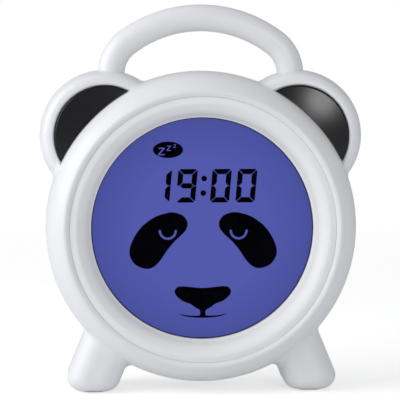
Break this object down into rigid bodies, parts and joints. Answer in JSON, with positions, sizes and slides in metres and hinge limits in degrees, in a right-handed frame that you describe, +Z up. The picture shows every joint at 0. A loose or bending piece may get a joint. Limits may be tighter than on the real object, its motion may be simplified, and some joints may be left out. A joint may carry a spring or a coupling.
{
  "type": "alarm clock",
  "caption": "Kids alarm clock with night light: round glowing display in a white animal-head case with ears, splayed feet and a carry handle, keys and battery door behind",
  "frame": {"origin": "on the table under the middle of the case", "axes": "clock faces -Y, +X to the right as seen from the front, +Z up"},
  "size_m": [0.149, 0.0476, 0.1785],
  "materials": {
    "housing_white": "smooth white ABS",
    "ear_black": "satin black ABS",
    "funnel_white": "smooth white ABS",
    "pad_rubber": "soft pale rubber",
    "gasket_navy": "dark foam tape",
    "window_clear": "clear polished",
    "panel_glass": "clear, thin",
    "panel_film": "violet polarising film",
    "box_white": "white reflector plastic",
    "diffuser_white": "opal sheet",
    "board_green": "solder mask on glass fibre",
    "lamp_chip": "white lamp body with lens",
    "part_black": "moulded black",
    "can_metal": "bare can",
    "socket_cream": "nylon",
    "ribbon_amber": "flexible film",
    "lead_red": "two-core lead",
    "button_grey": "pale grey ABS",
    "steel_plated": "nickel plated",
    "magnet_dark": "plated",
    "speaker_film": "thin film",
    "cell_sleeve": "printed sleeve on a metal can",
    "door_white": "smooth white ABS"
  },
  "bodies": {
    "housing": {"front_shell": "housing_white", "rear_shell": "housing_white", "ear_insert_left": "ear_black", "ear_insert_right": "ear_black", "foot_pad_left": "pad_rubber", "foot_pad_right": "pad_rubber", "display_funnel": "funnel_white", "window_gasket": "gasket_navy", "display_window": "window_clear", "lcd_front_polariser": "panel_film", "lcd_front_glass": "panel_glass", "lcd_rear_glass": "panel_glass", "lcd_rear_polariser": "panel_film", "light_box": "box_white", "light_diffuser": "diffuser_white", "main_board": "board_green", "night_light_leds": "lamp_chip", "clock_chip": "part_black", "clock_crystal": "can_metal", "main_capacitors": "can_metal", "lead_sockets": "socket_cream", "panel_ribbon": "ribbon_amber", "key_board": "board_green", "key_switches": "part_black", "speaker_frame": "steel_plated", "speaker_magnet": "magnet_dark", "speaker_film": "speaker_film", "socket_board": "board_green", "supply_socket": "steel_plated", "supply_socket_tongue": "part_black", "cell_1": "cell_sleeve", "cell_2": "cell_sleeve", "cell_3": "cell_sleeve", "battery_plates": "steel_plated", "battery_springs": "steel_plated", "battery_lead": "lead_red", "speaker_lead": "lead_red", "socket_lead": "lead_red", "key_lead": "ribbon_amber"},
    "button_mode_body": {"button_mode": "button_grey"},
    "button_down_body": {"button_down": "button_grey"},
    "button_alarm_body": {"button_alarm": "button_grey"},
    "button_light_body": {"button_light": "button_grey"},
    "button_up_body": {"button_up": "button_grey"},
    "button_set_body": {"button_set": "button_grey"},
    "battery_door_body": {"battery_door": "door_white", "battery_door_screw": "steel_plated"}
  },
  "joints": [
    {"name": "mode_press", "type": "slide", "parent": "housing", "child": "button_mode_body", "axis": [0, -1, 0], "range_m": [0, 0.0008], "stiffness_N_per_m": 1200},
    {"name": "down_press", "type": "slide", "parent": "housing", "child": "button_down_body", "axis": [0, -1, 0], "range_m": [0, 0.0008], "stiffness_N_per_m": 1200},
    {"name": "alarm_press", "type": "slide", "parent": "housing", "child": "button_alarm_body", "axis": [0, -1, 0], "range_m": [0, 0.0008], "stiffness_N_per_m": 1200},
    {"name": "light_press", "type": "slide", "parent": "housing", "child": "button_light_body", "axis": [0, -1, 0], "range_m": [0, 0.0008], "stiffness_N_per_m": 1200},
    {"name": "up_press", "type": "slide", "parent": "housing", "child": "button_up_body", "axis": [0, -1, 0], "range_m": [0, 0.0008], "stiffness_N_per_m": 1200},
    {"name": "set_press", "type": "slide", "parent": "housing", "child": "button_set_body", "axis": [0, -1, 0], "range_m": [0, 0.0008], "stiffness_N_per_m": 1200},
    {"name": "battery_door_tilt", "type": "hinge", "parent": "housing", "child": "battery_door_body", "pos_m": [0, 0.02274, 0.0378], "axis": [-1, 0, 0], "range_deg": [0, 40]}
  ]
}
